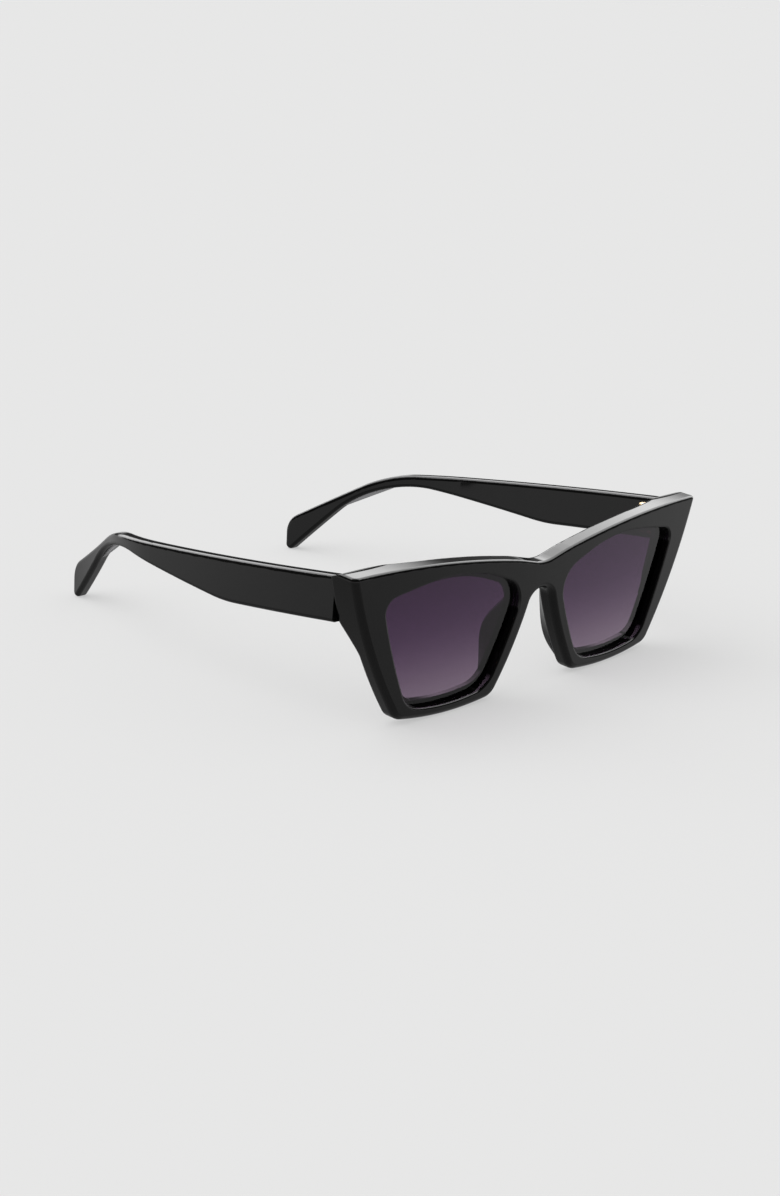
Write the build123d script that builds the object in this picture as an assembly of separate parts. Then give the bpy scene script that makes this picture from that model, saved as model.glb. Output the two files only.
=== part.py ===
from build123d import *

import os
from math import atan2, degrees, sqrt

# Cat eye sunglasses: an acetate front with two lenses and two bonded nose pads,
# and two temples on five-barrel hinges. Millimetres. The pieces are drawn in the
# wearer's frame (+X to the wearer's left, -Y forwards, +Z up, front upright), and
# are then tilted and lifted together so that the rims and the temple tips stand on z = 0.

# ---------------------------------------------------------------- driving dimensions

# front
FACE_RADIUS = 850.0            # plan curvature of the front face
RIM_DEPTH = 5.6                # thickness of the front, front face to back face
HALF_WIDTH = 72.5              # centre line to the upswept outer corner
BROW_Z = 23.6                  # height of the outer corner
SIDE_EDGE_RADIUS = 1.8         # broad rounding along the two outer sides
FRONT_EDGE_RADIUS = 0.9        # rounding of the other front edges
REAR_EDGE_RADIUS = 1.3
APERTURE_EDGE_RADIUS = 0.6

BRIDGE_TOP = (0.0, 16.1)       # (x, z) corners of the outline, right of the centre line
BROW_START = (9.5, 18.5)
OUTER_CORNER = (HALF_WIDTH, BROW_Z)
OUTER_BOTTOM = (53.8, -19.4)
NASAL_BOTTOM = (17.05, -20.1)
ARCH_SHOULDER = (4.7, 5.0)
ARCH_TOP = (0.0, 8.4)
BROW_BOW, SIDE_BOW, BOTTOM_BOW, NASAL_BOW = 1.85, 2.0, 1.55, 0.96
BRIDGE_TOP_RADIUS, BROW_START_RADIUS = 14.0, 60.0
OUTER_BOTTOM_RADIUS, NASAL_BOTTOM_RADIUS = 5.0, 5.4
NASAL_SIDE = (15.5, 12.0)      # the nasal sides lie below and inside this (x, z)
OUTER_SIDE = (60.0, 15.0)      # the outer sides' middles lie below and outside this (x, z)

# lens openings: corners (x, z) in order, the bow of the side that follows each, and its rounding
APERTURE_CORNERS = ((7.6, 10.5), (32.0, 19.35), (61.4, 15.4), (50.2, -16.6), (19.5, -16.7))
APERTURE_BOWS = (0.7, 0.63, 0.8, 1.63, 0.72)
APERTURE_RADII = (8.0, 50.0, 4.1, 8.4, 9.6)
LENS_SETBACK = 2.1             # front face to lens
LENS_THICKNESS = 2.0
GROOVE_DEPTH = 0.9             # how far the groove is cut into the rim
LENS_EDGE_GAP = 0.1            # lens edge to groove floor
REAR_LIP = 1.6                 # how much smaller the opening is behind the lens

# endpieces, the thick outer ends that carry the hinges
BUTT_Y = 12.8                  # plane of the endpiece's back face
EAR_INNER_X = 42.0             # where it starts to leave the back of the rim, in plan
EAR_MIDDLE = (56.5, 8.7)       # (x, y) on the way
EAR_FLAT_X = 66.0              # from here outwards the back face is flat
EAR_SIDE = ((7.6, -5.0), (8.7, 1.7), (BUTT_Y + 0.1, 9.0))     # the same below it, (y, z)
EAR_TOP = ((5.0, 23.9), (BUTT_Y + 0.1, 21.4))     # arc, level at its start, that rounds its top, (y, z)
EAR_FRONT_Y = 5.0              # its front, buried in the rim
BUTT_GAP = 0.15                # seam between endpiece and temple

# hinges
AXIS_X, AXIS_Y = 62.0, 14.0
BARREL_RADIUS = 1.7
BARREL_BORE = 0.74
BARREL_BOTTOM = 11.4
BARREL_HEIGHT = 1.6
BARREL_PITCH = 1.7
BARREL_COUNT = 5
BARREL_TOP = BARREL_BOTTOM + (BARREL_COUNT - 1) * BARREL_PITCH + BARREL_HEIGHT
SCREW_RADIUS = 0.70
SCREW_HEAD_RADIUS = 1.15
SCREW_HEAD_HEIGHT = 0.7
SLOT_WIDTH, SLOT_DEPTH = 0.35, 0.3
SEAT_GAP = 0.05                # between screw head and top knuckle
LEAF_THICKNESS = 1.2
NECK_WIDTH = 1.8               # from each leaf to its barrels
FRONT_LEAF_Y = 7.5             # its face towards the front of the glasses
FRONT_LEAF_WIDTH = 4.6
FRONT_LEAF_MARGIN = 0.4        # above and below the barrels
TEMPLE_LEAF_SETBACK = 0.65     # from the butt end of the temple
TEMPLE_LEAF_LENGTH = 8.0
TEMPLE_LEAF_DEPTH = 0.65       # under the temple's inner face
TEMPLE_LEAF_THICKNESS = 0.7

# temples
TEMPLE_THICKNESS = 4.2
TEMPLE_EDGE_RADIUS = 1.2
TEMPLE_START = (69.6, BUTT_Y + BUTT_GAP)     # outer face at the butt end, in plan (x, y)
TEMPLE_FLARE = 0.0567                        # outward slope there
TEMPLE_SHAFT_RADIUS, TEMPLE_SHAFT_SWEEP = 459.0, 9.75
TEMPLE_BEND_RADIUS, TEMPLE_BEND_SWEEP = 91.0, 18.5
TEMPLE_TIP_RADIUS, TEMPLE_TIP_SWEEP = 183.0, 18.0     # turns back outwards
# side view (y, z) of the temple, clockwise from the top of the butt end, with corner roundings
TEMPLE_SIDE = (
    ((TEMPLE_START[1], 21.4), 0.0),
    ((117.6, 3.25), 45.0),
    ((152.4, -19.8), 8.0),
    ((152.0, -32.5), 1.6),
    ((120.9, 1.4), 44.0),
    ((56.0, 1.3), 60.0),
    ((TEMPLE_START[1], 8.4), 0.0),
)
CORE_THICKNESS, CORE_HEIGHT = 1.2, 1.6
CORE_BEND_RADIUS = 25.0
CORE_LINE = ((TEMPLE_START[1], 14.9), (57.0, 7.6), (112.0, 2.2), (138.0, -13.4))

# nose pads, from the top down: z, x of the base towards the nose, x of the base towards
# the lens, and (x, y) of the ridge that stands up behind it
PAD_SECTIONS = (
    (6.0, 5.3, 10.4, (8.2, 7.6)),
    (3.4, 5.8, 11.8, (10.0, 8.9)),
    (0.0, 6.9, 13.3, (12.2, 10.3)),
    (-4.5, 8.8, 15.4, (13.6, 10.7)),
    (-9.5, 11.1, 17.6, (14.3, 9.8)),
    (-13.5, 13.2, 19.2, (15.6, 8.4)),
    (-17.0, 15.2, 20.2, (17.6, 6.5)),
)
PAD_RIDGE = (1.6, 1.1)         # half width and height of the rounded ridge
PAD_ROOT = 1.0                 # how far a pad is drawn into the rim before it is trimmed to it

REACH = 60.0                   # longer than any cut needs
EDGE_TOLERANCE = 0.03          # how far an edge may be from the line it is looked for on


# ---------------------------------------------------------------- helpers

def closed_outline(corners, bows, radii):
    """Face in the XY plane: corners joined by bowed sides, then rounded corner by corner."""
    sides = []
    for index, corner in enumerate(corners):
        following = corners[(index + 1) % len(corners)]
        bow = bows[index]
        if bow == 0:
            sides.append(Line(corner, following))
        elif isinstance(bow, tuple):
            sides.append(ThreePointArc(corner, bow, following))
        else:
            sides.append(SagittaArc(corner, following, bow))
    face = make_face(Wire(sides))
    for corner, radius in zip(corners, radii):
        if radius:
            vertex = face.vertices().sort_by_distance((corner[0], corner[1], 0))[0]
            face = fillet(vertex, radius)
    return face


def grown(outline, distance):
    """A rounded convex outline moved outwards: its arcs are tangent, so the moved arcs still meet."""
    centre = outline.center()
    arcs = []
    for edge in outline.face().outer_wire().edges():
        points = []
        for t in (0.0, 0.5, 1.0):
            across = (edge % t).rotate(Axis.Z, 90)
            side = 1 if across.dot(edge @ t - centre) > 0 else -1
            points.append(edge @ t + across * side * distance)
        arcs.append(ThreePointArc(*points))
    return make_face(Wire(arcs))


def through_front(face):
    """Prism of an (x, z) outline along Y, well past both faces of the front."""
    upright = Plane.XZ * face
    return extrude(upright, amount=REACH / 2, both=True)


def shell(near, far):
    """Curved slab between two depths behind the front face."""
    outside = Cylinder(FACE_RADIUS - near, 2 * REACH)
    inside = Cylinder(FACE_RADIUS - far, 3 * REACH)
    return Pos(0, FACE_RADIUS, 0) * (outside - inside)


def face_y(x, depth=0.0):
    """Y of the curved surface that lies depth behind the front face."""
    radius = FACE_RADIUS - depth
    return FACE_RADIUS - sqrt(radius * radius - x * x)


def on_surface(edge, depth):
    samples = [edge @ t for t in (0.0, 0.25, 0.5, 0.75, 1.0)]
    return all(abs(point.Y - face_y(point.X, depth)) < EDGE_TOLERANCE for point in samples)


def mirrored(shape):
    return shape.mirror(Plane.YZ)


def in_side_view(face):
    """Prism of a (y, z) outline, wide enough to cut across one temple."""
    return Pos(TEMPLE_START[0] - REACH / 2, 0, 0) * extrude(Plane.YZ * face, amount=REACH, both=True)


# ---------------------------------------------------------------- front

def front_outline():
    right = [BROW_START, OUTER_CORNER, OUTER_BOTTOM, NASAL_BOTTOM, ARCH_SHOULDER]
    left = [(-x, z) for x, z in reversed(right)]
    corners = [BRIDGE_TOP] + right + left
    bows = [0, BROW_BOW, SIDE_BOW, BOTTOM_BOW, NASAL_BOW, ARCH_TOP]
    bows += [NASAL_BOW, BOTTOM_BOW, SIDE_BOW, BROW_BOW, 0]
    down = [BROW_START_RADIUS, 0, OUTER_BOTTOM_RADIUS, NASAL_BOTTOM_RADIUS, 0]
    radii = [BRIDGE_TOP_RADIUS] + down + down[::-1]
    return closed_outline(corners, bows, radii)


def aperture():
    return closed_outline(APERTURE_CORNERS, APERTURE_BOWS, APERTURE_RADII)


def endpiece(prism):
    """Thick outer end: flat butt face behind, blended into the rim inwards and downwards."""
    start = (EAR_INNER_X, face_y(EAR_INNER_X, RIM_DEPTH))
    plan_curve = Spline(start, EAR_MIDDLE, (EAR_FLAT_X, BUTT_Y), tangents=((1, 0.05), (1, 0.75)))
    plan = plan_curve + Polyline(
        (EAR_FLAT_X, BUTT_Y),
        (2 * REACH, BUTT_Y),
        (2 * REACH, EAR_FRONT_Y),
        (EAR_INNER_X, EAR_FRONT_Y),
        start,
    )
    side_curve = Spline(*EAR_SIDE, tangents=((0, 1), (0.5, 0.87)))
    side = side_curve + Polyline(
        EAR_SIDE[2],
        (EAR_SIDE[2][0], REACH / 2),
        (EAR_FRONT_Y, REACH / 2),
        (EAR_FRONT_Y, EAR_SIDE[0][1]),
        EAR_SIDE[0],
    )
    from_above = extrude(make_face(plan), amount=REACH, both=True)
    from_side = extrude(Plane.YZ * make_face(side), amount=2 * REACH)
    return from_above & from_side & prism


def above_endpieces():
    """All that lies above the arc which brings the endpieces' tops down to those of the temples."""
    start, end = EAR_TOP
    arc = TangentArc(start, end, tangent=(1, 0))
    above = arc + Polyline(end, (end[0], REACH / 2), (start[0], REACH / 2), start)
    return extrude(Plane.YZ * make_face(above), amount=2 * REACH, both=True)


def front_frame(cutters):
    prism = through_front(front_outline())
    ear = endpiece(prism)
    body = (prism & shell(0, RIM_DEPTH)) + ear + mirrored(ear)
    body = body.solid()

    side_edges = [e for e in body.edges() if on_surface(e, 0) and is_outer_side(e)]
    body = body.fillet(SIDE_EDGE_RADIUS, side_edges)
    other_edges = [e for e in body.edges() if on_surface(e, 0) and not is_outer_side(e)]
    body = body.fillet(FRONT_EDGE_RADIUS, other_edges)
    rear_edges = [e for e in body.edges() if is_rear_outline(e)]
    body = body.fillet(REAR_EDGE_RADIUS, rear_edges)
    body = body - above_endpieces()

    opening = aperture()
    front_cut = through_front(opening) & shell(-RIM_DEPTH, LENS_SETBACK + LENS_THICKNESS)
    lens_space = shell(LENS_SETBACK, LENS_SETBACK + LENS_THICKNESS)
    groove = through_front(grown(opening, GROOVE_DEPTH)) & lens_space
    rear_cut = through_front(grown(opening, -REAR_LIP)) & shell(LENS_SETBACK, 2 * BUTT_Y)
    for cut in (front_cut, groove, rear_cut):
        body = body - cut - mirrored(cut)
    body = body.solid()
    mouth = [e for e in body.edges() if on_surface(e, 0) and is_on(opening, e)]
    body = body.fillet(APERTURE_EDGE_RADIUS, mouth)
    for cutter in cutters:
        body = body - cutter
    return body


def is_on(outline, edge):
    """True if the edge, seen from the front, runs along the outline or its mirror image."""
    wire = outline.face().outer_wire()
    points = [edge @ t for t in (0.1, 0.5, 0.9)]
    return all(wire.distance_to(Vertex(abs(p.X), p.Z, 0)) < EDGE_TOLERANCE for p in points)


def is_outer_side(edge):
    middle = edge.center()
    return abs(middle.X) > OUTER_SIDE[0] and abs(middle.Z) < OUTER_SIDE[1]


def is_rear_outline(edge):
    """Edges behind the front face, along the outline but not along its nasal sides."""
    middle = edge @ 0.5
    across = abs((edge @ 0).Y - (edge @ 1).Y) > 0.9 * edge.length
    behind = middle.Y > face_y(middle.X) + 0.8 * RIM_DEPTH
    nasal = abs(middle.X) < NASAL_SIDE[0] and middle.Z < NASAL_SIDE[1]
    return behind and not across and not nasal and is_on(front_outline(), edge)


# ---------------------------------------------------------------- lenses and nose pads

def lens():
    outline = grown(aperture(), GROOVE_DEPTH - LENS_EDGE_GAP)
    return through_front(outline) & shell(LENS_SETBACK, LENS_SETBACK + LENS_THICKNESS)


def nose_pad():
    """Pad bonded behind the nasal side of a rim, as wide as the rim, rising to a rounded ridge."""
    sections = []
    for z, nasal_x, lens_x, (ridge_x, ridge_y) in PAD_SECTIONS:
        root_y = face_y(nasal_x, RIM_DEPTH) - PAD_ROOT
        half, drop = PAD_RIDGE
        shoulder_y = max(ridge_y - drop, root_y + drop)
        sides = [
            Line((nasal_x, root_y), (ridge_x - half, shoulder_y)),
            ThreePointArc((ridge_x - half, shoulder_y), (ridge_x, ridge_y), (ridge_x + half, shoulder_y)),
            Line((ridge_x + half, shoulder_y), (lens_x, root_y)),
            Line((lens_x, root_y), (nasal_x, root_y)),
        ]
        sections.append(Pos(0, 0, z) * make_face(Wire(sides)))
    body = loft(sections)
    return body & Pos(0, FACE_RADIUS, 0) * Cylinder(FACE_RADIUS - RIM_DEPTH, REACH * 2)


# ---------------------------------------------------------------- temples

def temple_strip(near, far):
    """Plan strip of a temple between two depths measured inwards from its outer face."""
    def side(depth):
        start = (TEMPLE_START[0] - depth, TEMPLE_START[1])
        shaft = JernArc(start, (TEMPLE_FLARE, 1), TEMPLE_SHAFT_RADIUS - depth, TEMPLE_SHAFT_SWEEP)
        bend = JernArc(shaft @ 1, shaft % 1, TEMPLE_BEND_RADIUS - depth, TEMPLE_BEND_SWEEP)
        tip = JernArc(bend @ 1, bend % 1, TEMPLE_TIP_RADIUS + depth, -TEMPLE_TIP_SWEEP)
        return shaft, bend, tip
    outer, inner = side(near), side(far)
    start = Line(inner[0] @ 0, outer[0] @ 0)
    end = Line(outer[-1] @ 1, inner[-1] @ 1)
    face = make_face(Wire([start, *outer, end, *inner]))
    return extrude(face, amount=REACH, both=True)


def core_wire():
    line = FilletPolyline(*CORE_LINE, radius=CORE_BEND_RADIUS)
    band = make_face(line.offset_2d(CORE_HEIGHT / 2))
    middle = TEMPLE_THICKNESS / 2
    strip = temple_strip(middle - CORE_THICKNESS / 2, middle + CORE_THICKNESS / 2)
    return in_side_view(band) & strip


def temple(cutters):
    corners = [corner for corner, radius in TEMPLE_SIDE]
    radii = [radius for corner, radius in TEMPLE_SIDE]
    profile = closed_outline(corners, [0] * len(corners), radii)
    body = (in_side_view(profile) & temple_strip(0, TEMPLE_THICKNESS)).solid()
    long_edges = [e for e in body.edges() if not at_butt(e) and not runs_across(e)]
    body = body.fillet(TEMPLE_EDGE_RADIUS, long_edges)
    for cutter in cutters:
        body = body - cutter
    return body


def runs_across(edge):
    return abs((edge % 0.5).X) > 0.99


def at_butt(edge):
    return all(abs((edge @ t).Y - TEMPLE_START[1]) < 0.05 for t in (0, 1))


# ---------------------------------------------------------------- hinges

def barrel_z(index):
    """Bottom and top of one knuckle, counted from the bottom."""
    low = BARREL_BOTTOM + index * BARREL_PITCH
    return low, low + BARREL_HEIGHT


def barrel(index):
    low, high = barrel_z(index)
    return on_axis(BARREL_RADIUS, low, high)


def on_axis(radius, low, high):
    return Pos(AXIS_X, AXIS_Y, (low + high) / 2) * Cylinder(radius, high - low)


def block(x0, x1, y0, y1, z0, z1):
    size = Box(x1 - x0, y1 - y0, z1 - z0)
    return Pos((x0 + x1) / 2, (y0 + y1) / 2, (z0 + z1) / 2) * size


def drilled(leaf):
    bore = on_axis(BARREL_BORE, BARREL_BOTTOM - 1, BARREL_TOP + 1)
    seat = on_axis(SCREW_HEAD_RADIUS + SEAT_GAP, BARREL_TOP - SCREW_HEAD_HEIGHT, BARREL_TOP + 1)
    return leaf - bore - seat


def hinge_front_leaf():
    """Plate sunk in the endpiece, with three necks that come out behind to barrels 0, 2 and 4."""
    half_width, half_neck = FRONT_LEAF_WIDTH / 2, NECK_WIDTH / 2
    bottom, top = BARREL_BOTTOM - FRONT_LEAF_MARGIN, BARREL_TOP + FRONT_LEAF_MARGIN
    back = FRONT_LEAF_Y + LEAF_THICKNESS
    leaf = block(AXIS_X - half_width, AXIS_X + half_width, FRONT_LEAF_Y, back, bottom, top)
    for index in range(0, BARREL_COUNT, 2):
        leaf += block(AXIS_X - half_neck, AXIS_X + half_neck, FRONT_LEAF_Y, AXIS_Y, *barrel_z(index))
        leaf += barrel(index)
    return drilled(leaf)


def hinge_temple_leaf():
    """Plate sunk under the temple's inner face, with two necks that come out to barrels 1 and 3."""
    near_x = TEMPLE_START[0] - TEMPLE_THICKNESS + TEMPLE_LEAF_DEPTH
    far_x = near_x + TEMPLE_LEAF_THICKNESS
    start = TEMPLE_START[1] + TEMPLE_LEAF_SETBACK
    end = start + TEMPLE_LEAF_LENGTH
    bottom, top = barrel_z(0)[0], barrel_z(BARREL_COUNT - 1)[0]
    leaf = block(near_x, far_x, start, end, bottom, top)
    for index in range(1, BARREL_COUNT, 2):
        leaf += block(AXIS_X, far_x, start, start + NECK_WIDTH / 2, *barrel_z(index))
        leaf += barrel(index)
    return drilled(leaf)


def hinge_screw():
    """Slotted screw down the barrel, its head seated in the top knuckle."""
    shank_top = BARREL_TOP - SCREW_HEAD_HEIGHT
    shank = on_axis(SCREW_RADIUS, BARREL_BOTTOM, shank_top)
    head = on_axis(SCREW_HEAD_RADIUS, shank_top, BARREL_TOP)
    across = SCREW_HEAD_RADIUS + 1
    slot = block(
        AXIS_X - across, AXIS_X + across,
        AXIS_Y - SLOT_WIDTH / 2, AXIS_Y + SLOT_WIDTH / 2,
        BARREL_TOP - SLOT_DEPTH, BARREL_TOP + 1,
    )
    return shank + head - slot


# ---------------------------------------------------------------- assembly

def build_pieces():
    left = {
        "lens_left": lens(),
        "nose_pad_left": nose_pad(),
        "hinge_front_leaf_left": hinge_front_leaf(),
        "hinge_screw_left": hinge_screw(),
        "hinge_temple_leaf_left": hinge_temple_leaf(),
        "temple_core_wire_left": core_wire(),
    }
    left["temple_left"] = temple([left["hinge_temple_leaf_left"], left["temple_core_wire_left"]])
    pieces = dict(left)
    for name, shape in left.items():
        pieces[name.replace("_left", "_right")] = mirrored(shape)
    leaves = [pieces["hinge_front_leaf_left"], pieces["hinge_front_leaf_right"]]
    pieces["front_frame"] = front_frame(leaves)
    return pieces


def resting(pieces):
    """Tilt about X until rims and temple tips touch the same level, and lift that level to z = 0."""
    tilt = 0.0
    reach = max(corner[0] for corner, radius in TEMPLE_SIDE)
    for _ in range(4):
        rims = (Rot(tilt, 0, 0) * pieces["front_frame"]).bounding_box().min.Z
        tips = (Rot(tilt, 0, 0) * pieces["temple_left"]).bounding_box().min.Z
        tilt += degrees(atan2(rims - tips, reach))
    turned = {name: Rot(tilt, 0, 0) * shape for name, shape in pieces.items()}
    boxes = [shape.bounding_box() for shape in turned.values()]
    middle_y = (min(box.min.Y for box in boxes) + max(box.max.Y for box in boxes)) / 2
    floor = min(box.min.Z for box in boxes)
    shift = Pos(0, -middle_y, -floor)
    axis_point = shift * Rot(tilt, 0, 0) * Pos(AXIS_X, AXIS_Y, BARREL_BOTTOM)
    axis_top = shift * Rot(tilt, 0, 0) * Pos(AXIS_X, AXIS_Y, BARREL_BOTTOM + 100)
    print("tilt", round(tilt, 4), "hinge axis", axis_point.position, axis_top.position)
    return {name: shift * shape for name, shape in turned.items()}


os.makedirs("parts", exist_ok=True)
for name, shape in resting(build_pieces()).items():
    export_step(shape, f"parts/{name}.step")
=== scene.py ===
import math

import bpy
from mathutils import Matrix, Vector


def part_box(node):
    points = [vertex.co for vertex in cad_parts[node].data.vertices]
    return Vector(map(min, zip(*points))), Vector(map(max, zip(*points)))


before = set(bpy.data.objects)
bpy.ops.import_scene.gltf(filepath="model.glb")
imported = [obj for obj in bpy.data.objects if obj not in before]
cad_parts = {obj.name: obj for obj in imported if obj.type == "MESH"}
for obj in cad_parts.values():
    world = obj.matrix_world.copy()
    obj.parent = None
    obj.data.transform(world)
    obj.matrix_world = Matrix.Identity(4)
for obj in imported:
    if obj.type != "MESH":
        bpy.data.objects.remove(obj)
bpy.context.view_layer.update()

# ---------------------------------------------------------------- camera

CAMERA_PLACE = (-0.4157, -0.4196, 0.1887)
CAMERA_HEADING = 44.07         # degrees from +X towards +Y
CAMERA_DROP = 16.93            # degrees below level
CAMERA_ROLL = 2.11
SENSOR = 36.0                  # millimetres along the picture's long side
CAMERA_LENS = 60.2             # millimetres
NEAREST, FARTHEST = 0.01, 200.0     # metres the camera sees


def add_camera():
    heading, drop, roll = (math.radians(a) for a in (CAMERA_HEADING, CAMERA_DROP, CAMERA_ROLL))
    forward = Vector((
        math.cos(drop) * math.cos(heading), math.cos(drop) * math.sin(heading), -math.sin(drop)))
    level = forward.cross(Vector((0, 0, 1))).normalized()
    upright = level.cross(forward)
    right = level * math.cos(roll) + upright * math.sin(roll)
    up = upright * math.cos(roll) - level * math.sin(roll)
    data = bpy.data.cameras.new("camera")
    data.sensor_width = SENSOR
    data.lens = CAMERA_LENS
    data.clip_start = NEAREST
    data.clip_end = FARTHEST
    camera = bpy.data.objects.new("camera", data)
    turn = Matrix((right, up, -forward)).transposed().to_4x4()
    camera.matrix_world = Matrix.Translation(CAMERA_PLACE) @ turn
    bpy.context.scene.collection.objects.link(camera)
    bpy.context.scene.camera = camera


# ---------------------------------------------------------------- nodes

def shader(name):
    """New material, and its node tree and Principled BSDF."""
    material = bpy.data.materials.new(name)
    material.use_nodes = True
    tree = material.node_tree
    return material, tree, tree.nodes["Principled BSDF"]


def node(tree, kind, **values):
    """New node. Names with a leading underscore set its properties, the others its inputs."""
    made = tree.nodes.new(kind)
    for name, value in values.items():
        if name.startswith("_"):
            setattr(made, name[1:], value)
        else:
            made.inputs[name.replace("_", " ")].default_value = value
    return made


def noise(tree, scale, detail=2.0, stretch=(1, 1, 1)):
    where = node(tree, "ShaderNodeTexCoord")
    mapping = node(tree, "ShaderNodeMapping", Scale=stretch)
    made = node(tree, "ShaderNodeTexNoise", Scale=scale, Detail=detail)
    tree.links.new(where.outputs["Object"], mapping.inputs["Vector"])
    tree.links.new(mapping.outputs["Vector"], made.inputs["Vector"])
    return made.outputs["Fac"]


def between(tree, value, low, high, from_low=0.0, from_high=1.0):
    """value, carried from one range to another."""
    made = node(tree, "ShaderNodeMapRange")
    made.inputs["From Min"].default_value = from_low
    made.inputs["From Max"].default_value = from_high
    made.inputs["To Min"].default_value = low
    made.inputs["To Max"].default_value = high
    tree.links.new(value, made.inputs["Value"])
    return made.outputs["Result"]


def ramp(tree, value, stops, blend="LINEAR"):
    made = node(tree, "ShaderNodeValToRGB")
    made.color_ramp.interpolation = blend
    while len(made.color_ramp.elements) < len(stops):
        made.color_ramp.elements.new(0.5)
    for element, (position, color) in zip(made.color_ramp.elements, stops):
        element.position = position
        element.color = (*color, 1)
    tree.links.new(value, made.inputs["Fac"])
    return made.outputs["Color"]


def bumped(tree, bsdf, height, strength, distance):
    bump = node(tree, "ShaderNodeBump", Strength=strength, Distance=distance)
    tree.links.new(height, bump.inputs["Height"])
    tree.links.new(bump.outputs["Normal"], bsdf.inputs["Normal"])


# ---------------------------------------------------------------- materials

# scales are in noise features to the metre
ACETATE_TONE_SCALE, ACETATE_HAZE_SCALE, ACETATE_WAVE_SCALE = 60, 35, 110
ACETATE_TONES = (
    (0.35, (0.0012, 0.0012, 0.0012)),
    (0.7, (0.0024, 0.0023, 0.0022)),
)
ACETATE_ROUGHNESS = (0.03, 0.08)
ACETATE_IOR = 1.49
ACETATE_WAVE, ACETATE_WAVE_DEPTH = 0.02, 0.001
# the tint of the lens from its lowest point, 0, to its highest, 1
LENS_TINTS = (
    (0.0, (0.27, 0.20, 0.27)),
    (0.3, (0.120, 0.072, 0.130)),
    (0.6, (0.055, 0.024, 0.066)),
    (1.0, (0.032, 0.012, 0.038)),
)
LENS_IOR = 1.5
METAL_SCALE, METAL_STRETCH = 900, (1, 1, 8)
METAL_WAVE, METAL_WAVE_DEPTH = 0.08, 0.0002


def acetate(name):
    """Polished black acetate: a faint depth of tone, haze in patches, a slight waviness from tumbling."""
    material, tree, bsdf = shader(name)
    tone = ramp(tree, noise(tree, ACETATE_TONE_SCALE, 4), ACETATE_TONES)
    tree.links.new(tone, bsdf.inputs["Base Color"])
    haze = between(tree, noise(tree, ACETATE_HAZE_SCALE, 5), *ACETATE_ROUGHNESS, 0.3, 0.7)
    tree.links.new(haze, bsdf.inputs["Roughness"])
    bsdf.inputs["IOR"].default_value = ACETATE_IOR
    bumped(tree, bsdf, noise(tree, ACETATE_WAVE_SCALE, 1), ACETATE_WAVE, ACETATE_WAVE_DEPTH)
    return material


def tinted_lens():
    """Purple tint, dense at the top and fading downwards."""
    material, tree, bsdf = shader("tinted_lens")
    low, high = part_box("lens_left")
    where = node(tree, "ShaderNodeTexCoord")
    split = node(tree, "ShaderNodeSeparateXYZ")
    tree.links.new(where.outputs["Object"], split.inputs["Vector"])
    height = between(tree, split.outputs["Z"], 0, 1, low.z, high.z)
    tint = ramp(tree, height, LENS_TINTS, "B_SPLINE")
    tree.links.new(tint, bsdf.inputs["Base Color"])
    bsdf.inputs["Transmission Weight"].default_value = 1.0
    bsdf.inputs["IOR"].default_value = LENS_IOR
    bsdf.inputs["Roughness"].default_value = 0.0
    return material


def metal(name, dark, light, rough):
    """Plated or turned metal, with fine level lines."""
    material, tree, bsdf = shader(name)
    lines = noise(tree, METAL_SCALE, 3, METAL_STRETCH)
    tree.links.new(ramp(tree, lines, ((0.3, dark), (0.7, light))), bsdf.inputs["Base Color"])
    tree.links.new(between(tree, lines, rough - 0.06, rough + 0.08), bsdf.inputs["Roughness"])
    bsdf.inputs["Metallic"].default_value = 1.0
    bumped(tree, bsdf, lines, METAL_WAVE, METAL_WAVE_DEPTH)
    return material


def paint():
    """Give each CAD node the material whose key is the longest that starts its name."""
    black_front = acetate("acetate_front")
    black_temple = acetate("acetate_temple")
    black_pad = acetate("acetate_pad")
    lens = tinted_lens()
    gold = metal("hinge_metal", (0.60, 0.42, 0.20), (0.80, 0.60, 0.32), 0.25)
    steel = metal("screw_steel", (0.45, 0.45, 0.46), (0.66, 0.66, 0.67), 0.28)
    wire = metal("core_wire_steel", (0.45, 0.45, 0.46), (0.62, 0.62, 0.63), 0.35)
    looks = {
        "front_frame": black_front,
        "temple_": black_temple,
        "temple_core_wire_": wire,
        "nose_pad_": black_pad,
        "lens_": lens,
        "hinge_front_leaf_": gold,
        "hinge_temple_leaf_": gold,
        "hinge_screw_": steel,
    }
    for name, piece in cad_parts.items():
        start = max((key for key in looks if name.startswith(key)), key=len)
        piece.data.materials.clear()
        piece.data.materials.append(looks[start])


# ---------------------------------------------------------------- surroundings

FLOOR_SIZE = 120.0
FLOOR_COLOR = (0.330, 0.330, 0.328, 1)
FLOOR_GLOW = 0.465             # keeps shadows as light as a bright sweep does
# soft boxes that gloss reflects: heading and height of the middle, half width, half height and
# soft edge in degrees, brightness
PANELS = (
    (42, 50, 42, 26, 12, 3.4),
    (0, -18, 26, 30, 24, 0.12),
)
AMBIENT = 0.05
GROUND = ((-0.50, 0.16), (-0.25, 0.46))      # the table top that gloss sees: height, brightness
HORIZON = (0.02, -0.03)                      # heights where it starts to show and where it is whole
# what lights the scene: an even dome and one broad lamp, given like a soft box
DOME = 0.60
LAMP = (140, 46, 28, 24, 20, 1.35)
BACKDROP = 0.798               # what shows past the end of the floor, as light as the floor itself


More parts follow.
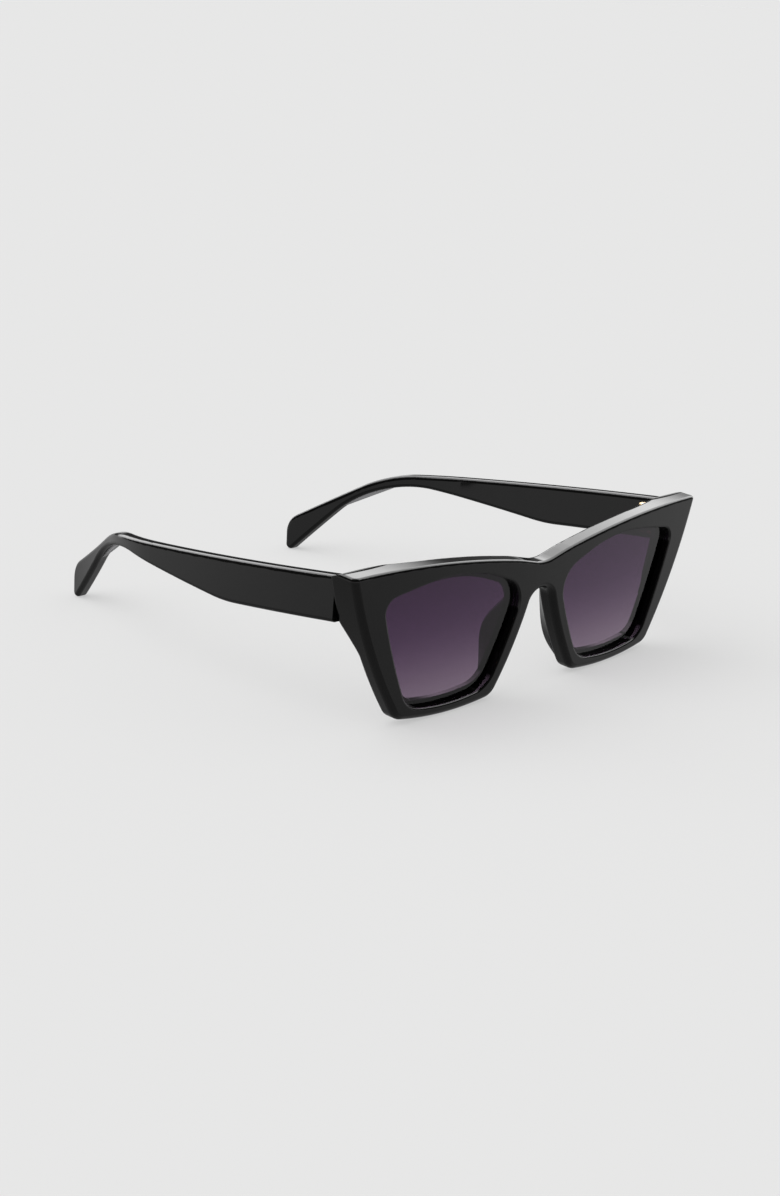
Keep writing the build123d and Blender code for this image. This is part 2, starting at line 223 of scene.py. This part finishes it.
def add_floor():
    half = FLOOR_SIZE / 2
    mesh = bpy.data.meshes.new("floor")
    corners = [(-half, -half, 0), (half, -half, 0), (half, half, 0), (-half, half, 0)]
    mesh.from_pydata(corners, [], [(0, 1, 2, 3)])
    floor = bpy.data.objects.new("floor", mesh)
    floor.visible_glossy = False
    bpy.context.scene.collection.objects.link(floor)
    material, tree, bsdf = shader("floor")
    bsdf.inputs["Base Color"].default_value = FLOOR_COLOR
    bsdf.inputs["Emission Color"].default_value = (1, 1, 1, 1)
    bsdf.inputs["Emission Strength"].default_value = FLOOR_GLOW
    bsdf.inputs["Roughness"].default_value = 1.0
    bsdf.inputs["Specular IOR Level"].default_value = 0.0
    mesh.materials.append(material)


def math_node(tree, operation, first, second=None):
    made = node(tree, "ShaderNodeMath", _operation=operation)
    for socket, value in zip(made.inputs, (first, second)):
        if isinstance(value, (int, float)):
            socket.default_value = value
        elif value is not None:
            tree.links.new(value, socket)
    return made.outputs["Value"]


def along(tree, direction, where):
    """How far the view direction points along another one."""
    dot = node(tree, "ShaderNodeVectorMath", _operation="DOT_PRODUCT")
    dot.inputs[1].default_value = direction
    tree.links.new(where, dot.inputs[0])
    return dot.outputs["Value"]


def band(tree, value, half, soft):
    """1 within half degrees either side, falling to 0 over the soft edge."""
    made = node(tree, "ShaderNodeMapRange", _interpolation_type="SMOOTHSTEP")
    made.inputs["From Min"].default_value = math.sin(math.radians(min(half + soft, 90)))
    made.inputs["From Max"].default_value = math.sin(math.radians(half))
    tree.links.new(math_node(tree, "ABSOLUTE", value), made.inputs["Value"])
    return made.outputs["Result"]


def soft_box(tree, where, heading, height, half_width, half_height, soft, brightness):
    h, v = math.radians(heading), math.radians(height)
    middle = (math.cos(v) * math.cos(h), math.cos(v) * math.sin(h), math.sin(v))
    side = (-math.sin(h), math.cos(h), 0)
    up = (-math.sin(v) * math.cos(h), -math.sin(v) * math.sin(h), math.cos(v))
    width = band(tree, along(tree, side, where), half_width, soft)
    tall = band(tree, along(tree, up, where), half_height, soft)
    ahead = math_node(tree, "GREATER_THAN", along(tree, middle, where), 0)
    shape = math_node(tree, "MULTIPLY", math_node(tree, "MULTIPLY", width, tall), ahead)
    return math_node(tree, "MULTIPLY", shape, brightness)


def add_light():
    """One world. Gloss sees soft boxes and a table top, the camera a backdrop, all else the dome and lamp."""
    world = bpy.data.worlds.new("studio")
    bpy.context.scene.world = world
    world.use_nodes = True
    tree = world.node_tree
    where = node(tree, "ShaderNodeTexCoord").outputs["Generated"]
    height = along(tree, (0, 0, 1), where)
    (deep, dark), (shallow, pale) = GROUND
    ground = between(tree, height, dark, pale, deep, shallow)
    seen = between(tree, height, 0, 1, *HORIZON)
    gloss = math_node(tree, "ADD", math_node(tree, "MULTIPLY", ground, seen), AMBIENT)
    for panel in PANELS:
        gloss = math_node(tree, "ADD", soft_box(tree, where, *panel), gloss)
    light = math_node(tree, "ADD", soft_box(tree, where, *LAMP), DOME)
    path = node(tree, "ShaderNodeLightPath")
    chosen = node(tree, "ShaderNodeMix", _data_type="FLOAT")
    tree.links.new(path.outputs["Is Glossy Ray"], chosen.inputs[0])
    tree.links.new(light, chosen.inputs[2])
    tree.links.new(gloss, chosen.inputs[3])
    shown = node(tree, "ShaderNodeMix", _data_type="FLOAT")
    tree.links.new(path.outputs["Is Camera Ray"], shown.inputs[0])
    tree.links.new(chosen.outputs[0], shown.inputs[2])
    shown.inputs[3].default_value = BACKDROP
    background = tree.nodes["Background"]
    background.inputs["Color"].default_value = (1, 1, 1, 1)
    tree.links.new(shown.outputs[0], background.inputs["Strength"])


bpy.context.scene.view_settings.view_transform = "Standard"
add_camera()
paint()
add_floor()
add_light()

bpy.context.view_layer.update()
